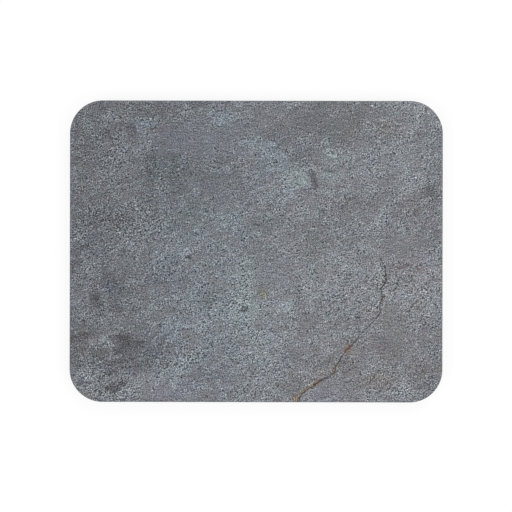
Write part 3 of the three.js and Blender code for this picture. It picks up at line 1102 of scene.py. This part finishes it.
def melamine_material():
    n = Nodes("melamine")
    place = n.millimetres()
    haze = n.noise(place, *HAZE_NOISE)
    specks = n.noise(place, *SPECK_NOISE)
    level_lines = n.vector("MULTIPLY", place, (1 / SCUFF_STRETCH, 1 / SCUFF_STRETCH, 1))
    upright = n.split(n.add("ShaderNodeTexCoord").outputs["Normal"])[2]
    steep = n.remap(n.math("ABSOLUTE", upright), *STEEP_EDGE)
    scuffs = n.math("MULTIPLY", n.remap(n.noise(level_lines, *SCUFF_NOISE), *SCUFF_EDGE), steep)
    worn = n.remap(n.split(place)[2], (RIM_Z + WORN_HEIGHT) / MM, RIM_Z / MM)
    shade = n.math("MULTIPLY_ADD", n.about_zero(haze), HAZE_SHARE, 1.0)
    shade = n.math("MULTIPLY_ADD", n.about_zero(specks), SPECK_SHARE, shade)
    shade = n.math("MULTIPLY_ADD", scuffs, SCUFF_SHARE, shade)
    shade = n.math("MULTIPLY_ADD", n.math("MULTIPLY", worn, specks), WORN_SHARE, shade)
    colour = n.scaled(MELAMINE_COLOUR, shade)
    rough = n.remap(n.math("ADD", haze, scuffs), *DULL_RANGE, *MELAMINE_ROUGHNESS)
    peel = n.bump(n.noise(place, *PEEL_NOISE), PEEL_DEPTH)
    return n.set(Base_Color=colour, Roughness=rough, Normal=peel)


# The pads: soft rubber, dusty in places
RUBBER_COLOUR = (0.018, 0.0184, 0.0189)
DUST_NOISE = (4, 3.0, 0.7)
DUST_RANGE = (0.35, 0.7)
DUST_SHADE = (0.75, 1.5)
RUBBER_ROUGHNESS = (0.78, 0.92)
RUBBER_SKIN_NOISE = (0.5, 2.0, 0.6)
RUBBER_SKIN_DEPTH = 0.03 * MM


def rubber_material():
    n = Nodes("pad_rubber")
    place = n.millimetres()
    skin = n.noise(place, *RUBBER_SKIN_NOISE)
    dust = n.remap(n.noise(place, *DUST_NOISE), *DUST_RANGE, *DUST_SHADE)
    colour = n.scaled(RUBBER_COLOUR, dust)
    rough = n.remap(skin, *NOISE_SPAN, *RUBBER_ROUGHNESS)
    return n.set(Base_Color=colour, Roughness=rough, Normal=n.bump(skin, RUBBER_SKIN_DEPTH))


# The adhesive: cloudy acrylic with a faint ripple
ADHESIVE_COLOUR = (0.56, 0.55, 0.505)
ADHESIVE_SHADE = (0.93, 1.07)
ADHESIVE_ROUGHNESS = (0.3, 0.45)
RIPPLE_NOISE = (1.2, 2.0)
RIPPLE_DEPTH = 0.02 * MM


def adhesive_material():
    n = Nodes("adhesive")
    place = n.millimetres()
    ripple = n.noise(place, *RIPPLE_NOISE)
    colour = n.scaled(ADHESIVE_COLOUR, n.remap(ripple, *NOISE_SPAN, *ADHESIVE_SHADE))
    rough = n.remap(ripple, *NOISE_SPAN, *ADHESIVE_ROUGHNESS)
    return n.set(Base_Color=colour, Roughness=rough, Normal=n.bump(ripple, RIPPLE_DEPTH))


# Stage, light and camera
FLOOR_SIZE = 12.0
FLOOR_ALBEDO = 0.8
FLOOR_SEEN_ALBEDO = 0.2
FLOOR_SEEN_GLOW = 0.83
WORLD_LIGHT = 0.45
WORLD_SEEN = 1.0
SOFTBOX_SIZE = 1.6
SOFTBOX_DISTANCE = 2.4
SOFTBOX_ELEVATION = math.radians(48)
SOFTBOX_WATTS = 14
SOFTBOX_AZIMUTHS = (-150, -30, 75)


def seen_directly(tree):
    """1 for rays from the camera and for those that a mirror or glass passes on, else 0."""
    rays = tree.nodes.new("ShaderNodeLightPath")
    seen = rays.outputs["Is Camera Ray"]
    for name in ("Is Glossy Ray", "Is Transmission Ray"):
        either = tree.nodes.new("ShaderNodeMath")
        either.operation = "MAXIMUM"
        tree.links.new(seen, either.inputs[0])
        tree.links.new(rays.outputs[name], either.inputs[1])
        seen = either.outputs[0]
    return seen


def make_floor():
    bpy.ops.mesh.primitive_plane_add(size=FLOOR_SIZE)
    floor = bpy.context.object
    floor.name = "floor"
    material = bpy.data.materials.new("floor_white")
    material.use_nodes = True
    tree = material.node_tree
    tree.nodes.clear()
    output = tree.nodes.new("ShaderNodeOutputMaterial")
    lighting = tree.nodes.new("ShaderNodeBsdfDiffuse")
    lighting.inputs["Color"].default_value = (FLOOR_ALBEDO, FLOOR_ALBEDO, FLOOR_ALBEDO, 1)
    shadow = tree.nodes.new("ShaderNodeBsdfDiffuse")
    shadow.inputs["Color"].default_value = (FLOOR_SEEN_ALBEDO, FLOOR_SEEN_ALBEDO, FLOOR_SEEN_ALBEDO, 1)
    glow = tree.nodes.new("ShaderNodeEmission")
    glow.inputs["Strength"].default_value = FLOOR_SEEN_GLOW
    seen = tree.nodes.new("ShaderNodeAddShader")
    tree.links.new(shadow.outputs[0], seen.inputs[0])
    tree.links.new(glow.outputs[0], seen.inputs[1])
    mix = tree.nodes.new("ShaderNodeMixShader")
    tree.links.new(seen_directly(tree), mix.inputs["Fac"])
    tree.links.new(lighting.outputs[0], mix.inputs[1])
    tree.links.new(seen.outputs[0], mix.inputs[2])
    tree.links.new(mix.outputs[0], output.inputs["Surface"])
    floor.data.materials.append(material)


def make_world():
    world = bpy.data.worlds.new("studio")
    bpy.context.scene.world = world
    world.use_nodes = True
    tree = world.node_tree
    level = tree.nodes.new("ShaderNodeMapRange")
    level.inputs["To Min"].default_value = WORLD_LIGHT
    level.inputs["To Max"].default_value = WORLD_SEEN
    tree.links.new(seen_directly(tree), level.inputs["Value"])
    tree.links.new(level.outputs[0], tree.nodes["Background"].inputs["Strength"])
    tree.nodes["Background"].inputs["Color"].default_value = (1, 1, 1, 1)


def make_softbox(azimuth):
    data = bpy.data.lights.new(f"softbox_{azimuth}", "AREA")
    data.size = SOFTBOX_SIZE
    data.energy = SOFTBOX_WATTS
    lamp = bpy.data.objects.new(data.name, data)
    turn = math.radians(azimuth)
    flat = math.cos(SOFTBOX_ELEVATION)
    way = Vector((math.cos(turn) * flat, math.sin(turn) * flat, math.sin(SOFTBOX_ELEVATION)))
    lamp.location = way * SOFTBOX_DISTANCE
    lamp.rotation_euler = (-way).to_track_quat("-Z", "Y").to_euler()
    bpy.context.scene.collection.objects.link(lamp)


def make_camera():
    data = bpy.data.cameras.new("camera")
    data.lens = LENS_MM
    data.sensor_width = SENSOR_MM
    camera = bpy.data.objects.new("camera", data)
    pixel = 2 * (HALF_LENGTH - outer_inset(SERVING_Z - TOP_EDGE_RADIUS)) / TRAY_PIXELS
    distance = pixel * PHOTO_PIXELS * LENS_MM / SENSOR_MM
    camera.location = (
        -TRAY_RIGHT_PIXELS * pixel,
        -TRAY_UP_PIXELS * pixel,
        SERVING_Z - TOP_EDGE_RADIUS + distance,
    )
    camera.rotation_euler = (0, 0, CAMERA_TURN)
    bpy.context.scene.collection.objects.link(camera)
    bpy.context.scene.camera = camera


def main():
    make_body(melamine_material())
    make_foil(stone_material())
    rubber, glue = rubber_material(), adhesive_material()
    for name, x, y in FOOT_CORNERS:
        make_pad(name, x, y, rubber)
        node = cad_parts[f"adhesive_{name}"]
        node.data.materials.clear()
        node.data.materials.append(glue)
    make_floor()
    make_world()
    for azimuth in SOFTBOX_AZIMUTHS:
        make_softbox(azimuth)
    make_camera()
    bpy.context.scene.view_settings.view_transform = "Standard"


main()
